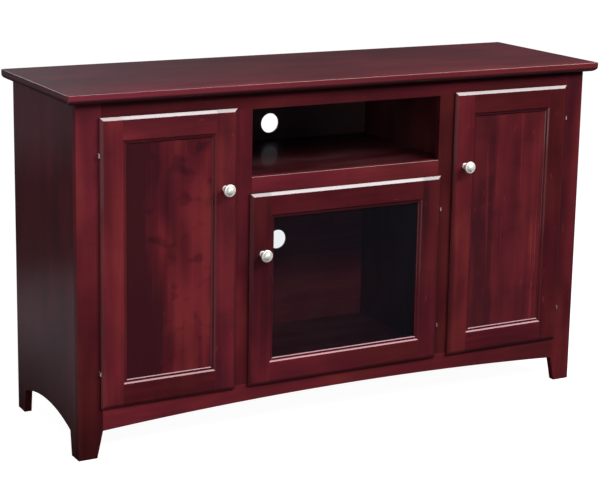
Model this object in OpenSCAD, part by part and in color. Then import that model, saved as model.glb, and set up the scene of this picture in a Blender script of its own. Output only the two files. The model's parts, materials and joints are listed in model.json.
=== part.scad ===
// Television console with three lipped doors, an open media bay and an arched base.
// X runs along the width, Y from front to back and Z up from the floor, in millimetres.

/* [Case] */
// Width of the case across its two sides
case_w = 1466; // [1300:1:1700]
// Depth of the case from the face frame's front to the back
case_d = 437; // [380:1:600]
// Height from the floor to the top's upper face
height = 899; // [820:1:1000]
// Thickness of the side, deck, partition and shelf boards
board = 19; // [16:0.5:22]
// Thickness of the back panel
back_thk = 6.35; // [4:0.05:8]
// Width of the rabbet that holds the back panel in each side
back_rabbet = 9.5; // [7:0.5:12]
// Depth of the housings that hold the deck, partitions and centre shelf
housing = 6; // [3:0.5:8]

/* [Top] */
// Thickness of the top
top_thk = 25.4; // [20:0.1:32]
// Overhang of the top past each side
top_side = 29; // [15:1:45]
// Overhang of the top past the face frame
top_front = 28; // [20:1:45]
// Overhang of the top past the back
top_back = 5; // [0:1:20]
// Height of the curve under the front and side edges of the top
top_under_h = 13.4; // [4:0.1:20]
// How far in that curve runs
top_under_run = 18; // [4:0.5:26]
// Radius that eases the upper edge of the top
top_ease_r = 2; // [1:0.5:4]

/* [Face frame] */
// Thickness of the face frame
frame_thk = 19; // [16:0.5:22]
// Width of the two outer stiles
outer_stile_w = 63.5; // [55:0.5:80]
// Width of the two middle stiles
mid_stile_w = 50.8; // [45:0.1:70]
// Width of the centre opening
centre_w = 546; // [450:1:620]
// Height of the top rail
top_rail_h = 41; // [35:1:60]
// Height of the open media bay
bay_h = 169.6; // [130:0.1:220]
// Height of the rail between the media bay and the glass door
mid_rail_h = 47.6; // [40:0.1:60]
// Height of the bottom rail at its ends
bottom_rail_h = 63.5; // [50:0.5:80]
// Rise of the arch under the bottom rail
arch_rise = 22; // [5:1:35]

/* [Feet] */
// Height of the feet
foot_h = 68; // [40:1:90]
// Width of a foot at the floor, seen from the front
foot_w = 48.5; // [35:0.5:55]
// Depth of a foot at the floor, seen from the side
foot_d = 47; // [35:1:52]
// Depth of a foot at its top, seen from the side
foot_top_d = 56; // [53:1:75]
// Height where the side arch springs from a foot
side_spring_h = 62; // [40:1:70]
// Rise of the arch under each side
side_arch_rise = 27; // [5:1:35]

/* [Inside] */
// Set-back of each partition behind the inner edge of its middle stile
partition_set = 31; // [5:1:31]
// Height of the adjustable shelves, at their undersides
shelf_z = 468; // [300:1:600]
// Set-back of the adjustable shelves behind the face frame
shelf_set = 8; // [2:1:40]
// Gap at each end of the adjustable shelves
shelf_gap = 1; // [0.5:0.5:3]
// Spacing of the shelf pin holes
pin_pitch = 32; // [25:1:40]
// Radius of the shelf pins
pin_r = 2.5; // [2:0.1:4]
// Distance of the shelf pins from the shelf's front and back edges
pin_set = 45; // [30:1:80]
// Radius of the cable holes in the back panel
cable_r = 27; // [20:0.5:35]
// Height of the upper cable hole above the floor
cable_high_z = 709.6; // [700:0.1:740]
// Height of the lower cable hole above the floor
cable_low_z = 377; // [250:1:480]
// Sideways place of the lower cable hole
cable_low_x = 29; // [-60:1:60]
// Depth of the cleats that hold the top
cleat_d = 45; // [30:1:70]

/* [Doors] */
// Thickness of the doors
door_thk = 19; // [17:0.5:22]
// Thickness of the lip that laps over the face frame
lip_thk = 8.5; // [7.5:0.1:10]
// Overlap of the lip on the face frame
lip_lap = 6.35; // [5:0.05:8]
// Width of the rabbet behind the lip
lip_w = 9.5; // [9.5:0.1:12]
// Gap between the lip and the face frame
door_gap = 1.5; // [1.5:0.1:2.5]
// Width of the bevel round a door, seen from the front
bevel_run = 8; // [5:0.1:9]
// Depth of that bevel, from front to back
bevel_depth = 4.3; // [4.3:0.1:5.5]
// Width of the flat of the door's stiles and rails
flat_w = 56.5; // [50:0.5:75]
// Width of the moulding's outer bevel
outer_bevel = 3.5; // [2:0.1:4]
// Width of the flat step in the moulding
step_w = 5; // [2:0.1:7]
// Width of the moulding's inner bevel
inner_bevel = 2.5; // [1.5:0.1:3]
// Thickness of the moulding's inner edge
moulding_tip = 0.5; // [0.2:0.1:1]
// Thickness of the wood panels in the doors
panel_thk = 6.35; // [4:0.05:7]
// Depth of the groove that holds a wood panel
groove_d = 9; // [6:0.5:12]
// Thickness of the glass
glass_thk = 3.2; // [3:0.1:5]
// Thickness of the strips behind the glass
stop_thk = 7; // [4:0.5:8]

/* [Knobs] */
// Radius of a knob's head
knob_r = 15.4; // [12:0.1:19]
// How far a knob stands out of the door
knob_proj = 35; // [32:1:38]
// Radius of a knob's foot
knob_foot_r = 8; // [7:0.5:14]
// Height of a knob's foot, from the door to the neck
knob_foot_h = 5; // [3:0.1:6]
// Radius of a knob's neck
knob_neck_r = 6; // [4:0.5:6.5]
// Length of the straight part of a knob's neck
knob_neck_h = 11.5; // [9:0.1:12]
// Height of the flare behind a knob's head
knob_flare_h = 6; // [4:0.1:6.5]
// Thickness of the rim of a knob's head
knob_rim_h = 6; // [4:0.1:6.5]
// Width of the rim round a knob's dome
knob_rim_w = 4.4; // [3:0.1:5]
// Depth of the rounding at the front of that rim
knob_rim_round = 2.4; // [1.5:0.1:3]
// Distance from a knob's centre to the door's free edge
knob_edge = 33; // [25:1:45]
// Distance from a side door's top to its knob
side_knob_drop = 196; // [120:1:350]
// Distance from the glass door's top to its knob
glass_knob_drop = 154; // [100:1:300]
// Radius of the screw that holds a knob
knob_screw_r = 2; // [1.5:0.1:2.5]

/* [Hinges] */
// Distance from a door's end to the middle of a hinge
hinge_inset = 90; // [60:1:140]
// Radius of a hinge knuckle
knuckle_r = 2.3; // [2:0.1:2.4]
// How far a hinge pin stands outside the door's edge
pin_out = 1.8; // [1.6:0.1:2]
// Radius of a hinge pin
hinge_pin_r = 1.2; // [1:0.1:1.3]
// Height of one hinge knuckle
knuckle_h = 3; // [3:0.5:8]
// Thickness of the hinge leaves
leaf_thk = 1.2; // [0.9:0.1:1.2]
// Height of the hinge leaves
leaf_h = 45; // [36:1:60]
// Width of the leaf on the back of the door
leaf_w = 28; // [22:1:36]

/* [Hidden] */
$fn = 48;

// Clearances
free = 0.3;
slip = 0.1;
over = 1;

// Levels
case_h = height - top_thk;
opening_top = case_h - top_rail_h;
bay_floor = opening_top - bay_h;
glass_top = bay_floor - mid_rail_h;
opening_bottom = foot_h + bottom_rail_h;

// Places from front to back, with the middle of the whole object at zero
lip_front = door_gap + lip_thk;
face_y = (lip_front + knob_proj - case_d - top_back) / 2;
frame_back_y = face_y + frame_thk;
back_y = face_y + case_d;
inner_back_y = back_y - back_thk;
inner_d = inner_back_y - frame_back_y;
door_y = face_y - lip_front;

// Places from left to right
half_w = case_w / 2;
side_in = half_w - board;
mid_in = centre_w / 2;
mid_out = mid_in + mid_stile_w;
part_in = mid_in + partition_set;
part_out = part_in + board;
side_opening_w = half_w - outer_stile_w - mid_out;

// Doors
side_door_w = side_opening_w + 2 * lip_lap;
side_door_h = opening_top - opening_bottom + 2 * lip_lap;
glass_door_w = centre_w + 2 * lip_lap;
glass_door_h = glass_top - opening_bottom + 2 * lip_lap;
door_z = opening_bottom - lip_lap;
side_hinge_x = half_w - outer_stile_w + lip_lap;
glass_hinge_x = mid_in + lip_lap;
stick_w = outer_bevel + step_w + inner_bevel;
recess = outer_bevel + inner_bevel + moulding_tip;
rail_w = flat_w + stick_w;
panel_gap = 1;
tenon = groove_d - panel_gap;
tenon_inset = 12;
bumper_inset = 40;

// Hinge: the pin's place is measured from the door's edge and the face frame's front
pin_y = lip_front - knuckle_r;
wing_d = frame_thk - 2;
knuckle_stack = 3 * knuckle_h + 2 * free;
leaf_screw_z = leaf_h / 2 - 8;

// Small hardware
wood_screw_r = 1.5;
wood_head_r = 2.8;
catch_w = 44;
catch_d = 22;
catch_h = 15;
magnet_w = 26;
magnet_h = 9;
strike_w = 32;
strike_h = 11;
strike_thk = 1;
catch_edge = 33;
bumper_r = 2.5;
pin_len = 9;
pad_thk = 1.5;
pad_l = 12;

// Colours
wood = [0.36, 0.11, 0.12];
wood_top = [0.40, 0.15, 0.17];
wood_side = [0.24, 0.12, 0.13];
wood_inside = [0.30, 0.10, 0.11];
nickel = [0.80, 0.79, 0.75];
steel = [0.62, 0.62, 0.60];

// A wood screw that starts at its head and points along +Z, wider by clear
module wood_screw(length, clear = 0) {
    cylinder(h = wood_head_r - wood_screw_r + clear, r1 = wood_head_r + clear,
             r2 = wood_screw_r + clear);
    cylinder(h = length + clear, r = wood_screw_r + clear);
}

// A board between two corners
module span(low, high) {
    translate(low) cube([high[0] - low[0], high[1] - low[1], high[2] - low[2]]);
}

// Top

// Moulded edge of the top, from its underside round to its upper face
top_edge = concat(
    [for (a = [0 : 7.5 : 90]) [top_under_run * (1 - sin(a)), top_under_h * (1 - cos(a))]],
    [for (a = [0 : 15 : 90])
        [top_ease_r * (1 - cos(a)), top_thk - top_ease_r * (1 - sin(a))]]
);

module top_panel() {
    top_w = case_w + 2 * top_side;
    top_d = case_d + top_front + top_back;
    far_edge = [for (i = [len(top_edge) - 1 : -1 : 0]) [top_w - top_edge[i][0], top_edge[i][1]]];
    color(wood_top) difference() {
        translate([-top_w / 2, face_y - top_front, case_h]) intersection() {
            translate([0, top_d, 0]) rotate([90, 0, 0]) linear_extrude(top_d)
                polygon(concat(top_edge, far_edge));
            rotate([90, 0, 90]) linear_extrude(top_w)
                polygon(concat(top_edge, [[top_d, top_thk], [top_d, 0]]));
        }
        case_screw_holes();
    }
}

// Case sides

// Outline of a side from the face frame's back to the case's back, with its feet and arch
module side_outline() {
    side_d = case_d - frame_thk;
    arch_front = foot_top_d - frame_thk;
    half_arch = (side_d - foot_top_d - arch_front) / 2;
    arch_r = (pow(half_arch, 2) + pow(side_arch_rise, 2)) / (2 * side_arch_rise);
    arch_turn = asin(half_arch / arch_r);
    arch_low = side_spring_h + side_arch_rise - arch_r;
    polygon(concat(
        [[0, case_h], [0, 0], [foot_d - frame_thk, 0]],
        [for (i = [-16 : 16])
            [arch_front + half_arch + arch_r * sin(arch_turn * i / 16),
             arch_low + arch_r * cos(arch_turn * i / 16)]],
        [[side_d - foot_d, 0], [side_d, 0], [side_d, case_h]]
    ));
}

// Heights of the shelf pin holes
pin_holes = 5;
function pin_z(i) = shelf_z - pad_thk - pin_r + (i - (pin_holes - 1) / 2) * pin_pitch;
shelf_front_y = frame_back_y + shelf_set;
shelf_back_y = inner_back_y - shelf_gap;
pin_rows = [shelf_front_y + pin_set, shelf_back_y - pin_set];

// Blind holes for shelf pins, bored along +X from the origin plane
module pin_bores(x, dir) {
    for (y = pin_rows, i = [0 : pin_holes - 1])
        translate([x, y, pin_z(i)]) rotate([0, 90 * dir, 0])
            translate([0, 0, -over]) cylinder(h = pin_len + slip + over, r = pin_r + slip / 2);
}

module case_side(dir) {
    difference() {
        translate([dir * (half_w - board / 2) - board / 2, frame_back_y, 0])
            rotate([90, 0, 90]) linear_extrude(board) side_outline();
        translate([dir > 0 ? side_in - over : -side_in - back_rabbet, inner_back_y, opening_bottom - board])
            cube([back_rabbet + over, back_thk + over, case_h]);
        translate([dir > 0 ? side_in - over : -side_in - housing, frame_back_y - over,
                   opening_bottom - board])
            cube([housing + over, inner_d + 2 * over, board]);
        pin_bores(dir * side_in, dir);
    }
}

module left_side() { color(wood_side) case_side(-1); }
module right_side() { color(wood_side) case_side(1); }

// Face frame

module outer_stile_left() {
    translate([-half_w, frame_back_y, 0]) rotate([90, 0, 0]) linear_extrude(frame_thk)
        polygon([[0, 0], [foot_w, 0], [outer_stile_w, foot_h], [outer_stile_w, case_h], [0, case_h]]);
}

module left_stile() {
    color(wood) difference() {
        outer_stile_left();
        at_left_door() frame_leaf_screws_of(side_door_h, slip);
    }
}

module right_stile() {
    color(wood) difference() {
        mirror([1, 0, 0]) outer_stile_left();
        at_right_door() frame_leaf_screws_of(side_door_h, slip);
    }
}

module mid_stile(dir) {
    x = dir > 0 ? mid_in : -mid_out;
    span([x, face_y, opening_bottom], [x + mid_stile_w, frame_back_y, opening_top]);
}

module left_mid_stile() { color(wood) mid_stile(-1); }

module right_mid_stile() {
    color(wood) difference() {
        mid_stile(1);
        at_glass_door() frame_leaf_screws_of(glass_door_h, slip);
    }
}

module top_rail() {
    x = half_w - outer_stile_w;
    color(wood) span([-x, face_y, opening_top], [x, frame_back_y, case_h]);
}

module mid_rail() {
    color(wood) span([-mid_in, face_y, glass_top], [mid_in, frame_back_y, bay_floor]);
}

module bottom_rail() {
    x = half_w - outer_stile_w;
    arch_r = (pow(x, 2) + pow(arch_rise, 2)) / (2 * arch_rise);
    arch_turn = asin(x / arch_r);
    arch_low = foot_h + arch_rise - arch_r;
    color(wood) translate([0, frame_back_y, 0]) rotate([90, 0, 0]) linear_extrude(frame_thk)
        polygon(concat(
            [[-x, opening_bottom]],
            [for (i = [-24 : 24])
                [arch_r * sin(arch_turn * i / 24), arch_low + arch_r * cos(arch_turn * i / 24)]],
            [[x, opening_bottom]]
        ));
}

// Inner boards

module bottom_deck() {
    x = side_in + housing;
    color(wood_inside) difference() {
        span([-x, frame_back_y, opening_bottom - board], [x, inner_back_y, opening_bottom]);
        for (dir = [-1, 1])
            translate([dir * (part_in + board / 2) - board / 2, frame_back_y - over,
                       opening_bottom - housing])
                cube([board, inner_d + 2 * over, housing + over]);
        case_screw_holes();
    }
}

module partition(dir) {
    x = dir * (part_in + board / 2) - board / 2;
    difference() {
        span([x, frame_back_y, opening_bottom - housing], [x + board, inner_back_y, case_h]);
        translate([dir > 0 ? part_in - over : -part_in - housing, frame_back_y - over,
                   bay_floor - board])
            cube([housing + over, inner_d + 2 * over, board]);
        pin_bores(dir * part_out, -dir);
    }
}

module left_partition() { color(wood_inside) partition(-1); }
module right_partition() { color(wood_inside) partition(1); }

module centre_shelf() {
    x = part_in + housing;
    color(wood_inside)
        span([-x, frame_back_y, bay_floor - board], [x, inner_back_y, bay_floor]);
}

module back_panel() {
    x = side_in + back_rabbet;
    color(wood_inside) difference() {
        span([-x, inner_back_y, opening_bottom - board], [x, back_y, case_h]);
        cable_hole(0, cable_high_z);
        cable_hole(cable_low_x, cable_low_z);
        case_screw_holes();
    }
    module cable_hole(x, z) {
        translate([x, back_y + over, z]) rotate([90, 0, 0])
            cylinder(h = back_thk + 2 * over, r = cable_r);
    }
}

// Bays from left to right, as pairs of inner faces
bays = [[-side_in, -part_out], [-part_in, part_in], [part_out, side_in]];

module top_cleats() {
    color(wood_inside) difference() {
        for (bay = bays, y = [frame_back_y, inner_back_y - cleat_d])
            span([bay[0], y, case_h - board], [bay[1], y + cleat_d, case_h]);
        case_screw_holes();
    }
}

// Two screws in every cleat, pointing up into the top
module top_screw_places() {
    for (bay = bays, y = [frame_back_y + cleat_d / 2, inner_back_y - cleat_d / 2], t = [0.2, 0.8])
        translate([bay[0] + (bay[1] - bay[0]) * t, y, case_h - board]) children();
}

// Screws through the back panel into the deck and the rear cleats
module back_screw_places() {
    for (bay = bays, z = [opening_bottom - board / 2, case_h - board / 2], t = [0.1, 0.9])
        translate([bay[0] + (bay[1] - bay[0]) * t, back_y, z]) rotate([90, 0, 0]) children();
}

// Every screw of the case, wider by clear
module all_case_screws(clear = 0) {
    top_screw_places() wood_screw(board + 12, clear);
    back_screw_places() wood_screw(back_thk + 12, clear);
    at_catches() catch_screws(clear);
}

module case_screw_holes() { all_case_screws(slip); }
module case_screws() { color(steel) all_case_screws(); }

// Glue blocks under the deck, in the corners behind the feet
module corner_blocks() {
    block = 19;
    block_h = 40;
    deck_low = opening_bottom - board;
    color(wood_inside)
        for (dir = [-1, 1], y = [frame_back_y, back_y - foot_d])
            translate([dir * (side_in - block / 2) - block / 2, y, deck_low - block_h])
                cube([block, block, block_h]);
}

// Adjustable shelves and their pins

module side_shelf(bay) {
    color(wood_inside)
        span([bay[0] + shelf_gap, shelf_front_y, shelf_z], [bay[1] - shelf_gap, shelf_back_y, shelf_z + board]);
}

module left_shelf() { side_shelf(bays[0]); }
module right_shelf() { side_shelf(bays[2]); }

module shelf_pin(dir) {
    rotate([0, -90 * dir, 0]) cylinder(h = pin_len, r = pin_r);
    translate([dir > 0 ? 0 : -pad_l, -pin_r, 0]) cube([pad_l, 2 * pin_r, pin_r + pad_thk]);
}

module shelf_pins() {
    color(nickel)
        for (bay = [bays[0], bays[2]], y = pin_rows, side = [0, 1])
            translate([bay[side], y, shelf_z - pad_thk - pin_r]) shelf_pin(side == 0 ? 1 : -1);
}

// Places of the doors: each child has the hinge edge at X = 0 and its front face at Y = 0

module at_left_door() { translate([-side_hinge_x, door_y, door_z]) children(); }
module at_right_door() { translate([side_hinge_x, door_y, door_z]) mirror([1, 0, 0]) children(); }
module at_glass_door() { translate([glass_hinge_x, door_y, door_z]) mirror([1, 0, 0]) children(); }

// Section of a door's outer edge on both sides of a length
module lip_section(length) {
    polygon([
        [bevel_run, 0], [length - bevel_run, 0], [length, bevel_depth], [length, lip_thk],
        [length - lip_w, lip_thk], [length - lip_w, door_thk], [lip_w, door_thk],
        [lip_w, lip_thk], [0, lip_thk], [0, bevel_depth]
    ]);
}

// Wood of the moulding at the inner edge, from the flat inwards
module moulding_section(glazed) {
    back = glazed ? recess : door_thk + over;
    polygon([
        [0, 0], [outer_bevel, outer_bevel], [outer_bevel + step_w, outer_bevel],
        [stick_w, outer_bevel + inner_bevel], [stick_w, back], [0, back]
    ]);
}

// Section of what the door's opening takes away
module opening_section(length, glazed) {
    difference() {
        translate([flat_w, -over]) square([length - 2 * flat_w, door_thk + 2 * over]);
        translate([flat_w, 0]) moulding_section(glazed);
        translate([length - flat_w, 0]) mirror([1, 0]) moulding_section(glazed);
    }
}

// The four members of a door before they are parted
module door_frame(w, h, glazed) {
    difference() {
        intersection() {
            linear_extrude(h) lip_section(w);
            mirror([1, 0, 0]) rotate([0, -90, 0]) linear_extrude(w) lip_section(h);
        }
        intersection() {
            linear_extrude(h) opening_section(w, glazed);
            mirror([1, 0, 0]) rotate([0, -90, 0]) linear_extrude(w) opening_section(h, glazed);
        }
        if (!glazed)
            translate([rail_w - groove_d, recess, rail_w - groove_d])
                cube([w - 2 * (rail_w - groove_d), panel_thk + slip, h - 2 * (rail_w - groove_d)]);
    }
}

// Mortises in the stiles for the rails' tenons, or the tenons when clear is zero
module tenons(w, z, clear) {
    for (x = [flat_w - tenon, w - flat_w])
        translate([x - (x < w / 2 ? clear : 0), recess + slip, z + tenon_inset - clear])
            cube([tenon + clear, panel_thk - slip, flat_w - 2 * tenon_inset + 2 * clear]);
}

// What parts a stile from the rails, seen from the front
module stile_part(h) {
    translate([0, door_thk + over, 0]) rotate([90, 0, 0]) linear_extrude(door_thk + 2 * over)
        polygon([
            [-over, -over], [flat_w, -over], [flat_w, flat_w], [rail_w, rail_w],
            [rail_w, h - rail_w], [flat_w, h - flat_w], [flat_w, h + over], [-over, h + over]
        ]);
}

// What parts the bottom rail from the stiles, seen from the front
module rail_part(w) {
    translate([0, door_thk + over, 0]) rotate([90, 0, 0]) linear_extrude(door_thk + 2 * over)
        polygon([
            [flat_w, -over], [w - flat_w, -over], [w - flat_w, flat_w],
            [w - rail_w, rail_w], [rail_w, rail_w], [flat_w, flat_w]
        ]);
}

module hinge_stile(w, h, glazed) {
    difference() {
        intersection() {
            door_frame(w, h, glazed);
            stile_part(h);
        }
        tenons(w, 0, slip);
        tenons(w, h - flat_w, slip);
        for (z = hinge_heights(h)) translate([0, 0, z]) door_leaf_screws(slip);
    }
}

module knob_stile(w, h, glazed, drop) {
    difference() {
        intersection() {
            door_frame(w, h, glazed);
            translate([w, 0, 0]) mirror([1, 0, 0]) stile_part(h);
        }
        tenons(w, 0, slip);
        tenons(w, h - flat_w, slip);
        at_knob(w, h, drop) translate([0, 0, -door_thk - over])
            cylinder(h = door_thk + 2 * over, r = knob_screw_r + slip);
        translate([w, 0, 0]) strike_screws(slip);
    }
}

module bottom_member(w, h, glazed) {
    intersection() {
        door_frame(w, h, glazed);
        rail_part(w);
    }
    tenons(w, 0, 0);
}

module top_member(w, h, glazed) {
    intersection() {
        door_frame(w, h, glazed);
        translate([0, 0, h]) mirror([0, 0, 1]) rail_part(w);
    }
    tenons(w, h - flat_w, 0);
}

module wood_panel(w, h) {
    edge = rail_w - groove_d + panel_gap;
    span([edge, recess, edge], [w - edge, recess + panel_thk, h - edge]);
}

module glass_pane(w, h) {
    edge = flat_w + 0.5;
    span([edge, recess, edge], [w - edge, recess + glass_thk, h - edge]);
}

// Four mitred strips that hold the glass in its rabbet
module glass_stops(w, h) {
    y = recess + glass_thk;
    inner = rail_w - 0.5;
    for (flip = [0, 1]) {
        translate([flip * w, y + stop_thk, 0]) mirror([flip, 0, 0]) rotate([90, 0, 0]) linear_extrude(stop_thk)
            polygon([[flat_w, flat_w], [inner, inner], [inner, h - inner], [flat_w, h - flat_w]]);
        translate([0, y + stop_thk, flip * h]) mirror([0, 0, flip]) rotate([90, 0, 0])
            linear_extrude(stop_thk)
                polygon([[flat_w, flat_w], [inner, inner], [w - inner, inner], [w - flat_w, flat_w]]);
    }
}

// Knobs

// A knob's own axis is +Z, starting on the door's front face
module at_knob(w, h, drop) {
    translate([w - knob_edge, 0, h - drop]) rotate([90, 0, 0]) children();
}

module knob_body() {
    edge = 0.8;
    foot_edge = 1.2;
    neck_top = knob_foot_h + knob_neck_h;
    rim_low = neck_top + knob_flare_h;
    rim_high = rim_low + knob_rim_h;
    dome_low = rim_high - edge;
    dome_r = knob_r - knob_rim_w;
    dome_h = knob_proj - dome_low;
    ball_r = (pow(dome_r, 2) + pow(dome_h, 2)) / (2 * dome_h);
    dome_turn = asin(dome_r / ball_r);
    round_w = knob_rim_w - edge / 2;
    foot_run = knob_foot_r - knob_neck_r;
    flare_run = knob_r - edge - knob_neck_r;
    difference() {
        rotate_extrude($fn = 96) polygon(concat(
            [[0, 0], [knob_foot_r, 0], [knob_foot_r, foot_edge]],
            [for (a = [15 : 15 : 90])
                [knob_foot_r - foot_run * sin(a), foot_edge + (knob_foot_h - foot_edge) * (1 - cos(a))]],
            [for (a = [0 : 15 : 90])
                [knob_neck_r + flare_run * (1 - cos(a)), neck_top + knob_flare_h * sin(a)]],
            [[knob_r, rim_low + edge]],
            [for (a = [0 : 15 : 90])
                [knob_r - round_w * (1 - cos(a)), rim_high - knob_rim_round * (1 - sin(a))]],
            [for (i = [8 : -1 : 0])
                [ball_r * sin(dome_turn * i / 8), knob_proj - ball_r * (1 - cos(dome_turn * i / 8))]]
        ));
        translate([0, 0, -over]) cylinder(h = neck_top + over, r = knob_screw_r + slip);
    }
}

// A machine screw from the back of the door into the knob
module knob_screw_body() {
    head_h = 2;
    translate([0, 0, -door_thk - head_h]) cylinder(h = head_h, r = 2 * knob_screw_r);
    translate([0, 0, -door_thk])
        cylinder(h = door_thk + knob_foot_h + knob_neck_h / 2, r = knob_screw_r);
}

// Hinges, in the door's frame with the pin's axis at a place outside the door's edge

function hinge_heights(h) = [hinge_inset, h - hinge_inset];

module at_pins(h) {
    for (z = hinge_heights(h)) translate([-pin_out, lip_front - pin_y, z]) children();
}

// Bands of the knuckles, from the middle of the hinge upwards
band_low = knuckle_h / 2 + free;

module frame_leaf() {
    wing_x = pin_out + lip_lap;
    difference() {
        union() {
            for (z = [band_low, -band_low - knuckle_h]) translate([0, 0, z]) {
                cylinder(h = knuckle_h, r = knuckle_r);
                translate([-knuckle_r, 0, 0]) cube([leaf_thk, pin_y, knuckle_h]);
                translate([-knuckle_r, pin_y - leaf_thk, 0])
                    cube([knuckle_r + wing_x + leaf_thk, leaf_thk, knuckle_h]);
            }
            translate([wing_x, pin_y - leaf_thk, -leaf_h / 2])
                cube([leaf_thk, wing_d + leaf_thk, leaf_h]);
        }
        translate([0, 0, -knuckle_stack]) cylinder(h = 2 * knuckle_stack, r = hinge_pin_r + slip / 2);
        translate([wing_x - over, pin_y - leaf_thk - over, -band_low])
            cube([leaf_thk + 2 * over, leaf_thk + over + free, 2 * band_low]);
    }
}

module frame_leaves_of(h) {
    difference() {
        at_pins(h) frame_leaf();
        frame_leaf_screws_of(h, slip / 2);
    }
}

// Two screws through each frame leaf into the edge of the stile
module frame_leaf_screws_of(h, clear = 0) {
    for (z = hinge_heights(h), s = [-1, 1])
        translate([lip_lap + leaf_thk, lip_front + wing_d / 2, z + s * leaf_screw_z])
            rotate([0, -90, 0]) wood_screw(16, clear);
}

module door_leaf() {
    back = pin_y - lip_front + door_thk;
    side_x = pin_out + lip_w;
    lip_back = pin_y - door_gap;
    difference() {
        union() {
            translate([0, 0, -knuckle_h / 2]) {
                cylinder(h = knuckle_h, r = knuckle_r);
                translate([pin_out - leaf_thk, 0, 0]) cube([leaf_thk, lip_back + leaf_thk, knuckle_h]);
                translate([pin_out - leaf_thk, lip_back, 0]) cube([lip_w + leaf_thk, leaf_thk, knuckle_h]);
            }
            translate([side_x - leaf_thk, lip_back, -leaf_h / 2])
                cube([leaf_thk, back - lip_back + leaf_thk, leaf_h]);
            translate([side_x - leaf_thk, back, -leaf_h / 2]) cube([leaf_w, leaf_thk, leaf_h]);
        }
        translate([0, 0, -knuckle_stack]) cylinder(h = 2 * knuckle_stack, r = hinge_pin_r + slip / 2);
    }
}

// Two screws through one door leaf into the back of the stile
module door_leaf_screws(clear = 0) {
    for (s = [-1, 1])
        translate([lip_w + leaf_w - 10, door_thk + leaf_thk, s * leaf_screw_z])
            rotate([90, 0, 0]) wood_screw(13, clear);
}

module door_leaves_of(h) {
    difference() {
        at_pins(h) door_leaf();
        for (z = hinge_heights(h)) translate([0, 0, z]) door_leaf_screws(slip / 2);
    }
}

module pins_of(h) {
    at_pins(h) translate([0, 0, -knuckle_stack / 2]) cylinder(h = knuckle_stack, r = hinge_pin_r);
}

// Catches, measured from the door's free edge: the strike on the door, the magnet on the deck

catch_z = lip_lap;
catch_y = door_thk + strike_thk + free;
strike_z = lip_w + 1;

module at_catches() {
    at_left_door() translate([side_door_w, 0, 0]) children();
    at_right_door() translate([side_door_w, 0, 0]) children();
    at_glass_door() translate([glass_door_w, 0, 0]) children();
}

module strike() {
    difference() {
        translate([-catch_edge - strike_w / 2, door_thk, strike_z]) cube([strike_w, strike_thk, strike_h]);
        strike_screws(slip / 2);
    }
}

module strike_screws(clear = 0) {
    for (s = [-1, 1])
        translate([-catch_edge + s * (strike_w / 2 - 4), door_thk + strike_thk, strike_z + strike_h / 2])
            rotate([90, 0, 0]) wood_screw(12, clear);
}

module catch_body() {
    difference() {
        translate([-catch_edge - catch_w / 2, catch_y, catch_z]) cube([catch_w, catch_d, catch_h]);
        magnet();
        catch_screws(slip);
    }
}

module magnet() {
    translate([-catch_edge - magnet_w / 2, catch_y, catch_z + catch_h - magnet_h - 2])
        cube([magnet_w, catch_d / 2, magnet_h]);
}

// Two screws down through each catch into the deck
module catch_screws(clear = 0) {
    for (s = [-1, 1])
        translate([-catch_edge + s * (catch_w / 2 - 5), catch_y + catch_d - 5, catch_z + catch_h])
            rotate([180, 0, 0]) wood_screw(catch_h + 12, clear);
}

// Two soft dots on the back of the lip, at the free edge
module bumpers(w, h) {
    for (z = [bumper_inset, h - bumper_inset])
        translate([w - lip_lap / 2, lip_thk, z]) rotate([-90, 0, 0])
            cylinder(h = door_gap - free, r = bumper_r);
}

module door_screws(w, h) {
    for (z = hinge_heights(h)) translate([0, 0, z]) door_leaf_screws();
    translate([w, 0, 0]) strike_screws();
}

// Hardware on the case

module catch_bodies() { color("dimgray") at_catches() catch_body(); }
module catch_magnets() { color(steel) at_catches() magnet(); }

module hinge_frame_leaves() {
    color(nickel) {
        at_left_door() frame_leaves_of(side_door_h);
        at_right_door() frame_leaves_of(side_door_h);
        at_glass_door() frame_leaves_of(glass_door_h);
    }
}

module hinge_pins() {
    color(steel) {
        at_left_door() pins_of(side_door_h);
        at_right_door() pins_of(side_door_h);
        at_glass_door() pins_of(glass_door_h);
    }
}

module frame_leaf_screws() {
    color(steel) {
        at_left_door() frame_leaf_screws_of(side_door_h);
        at_right_door() frame_leaf_screws_of(side_door_h);
        at_glass_door() frame_leaf_screws_of(glass_door_h);
    }
}

// Pieces of the left and right doors

module left_door_hinge_stile() { color(wood) at_left_door() hinge_stile(side_door_w, side_door_h, false); }
module left_door_knob_stile() {
    color(wood) at_left_door() knob_stile(side_door_w, side_door_h, false, side_knob_drop);
}
module left_door_top_rail() { color(wood) at_left_door() top_member(side_door_w, side_door_h, false); }
module left_door_bottom_rail() { color(wood) at_left_door() bottom_member(side_door_w, side_door_h, false); }
module left_door_panel() { color(wood) at_left_door() wood_panel(side_door_w, side_door_h); }
module left_door_knob() {
    color(nickel) at_left_door() at_knob(side_door_w, side_door_h, side_knob_drop) knob_body();
}
module left_door_knob_screw() {
    color(steel) at_left_door() at_knob(side_door_w, side_door_h, side_knob_drop) knob_screw_body();
}
module left_door_hinge_leaves() { color(nickel) at_left_door() door_leaves_of(side_door_h); }
module left_door_screws() { color(steel) at_left_door() door_screws(side_door_w, side_door_h); }
module left_door_strike() { color(steel) at_left_door() translate([side_door_w, 0, 0]) strike(); }
module left_door_bumpers() { color("gainsboro") at_left_door() bumpers(side_door_w, side_door_h); }

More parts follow.
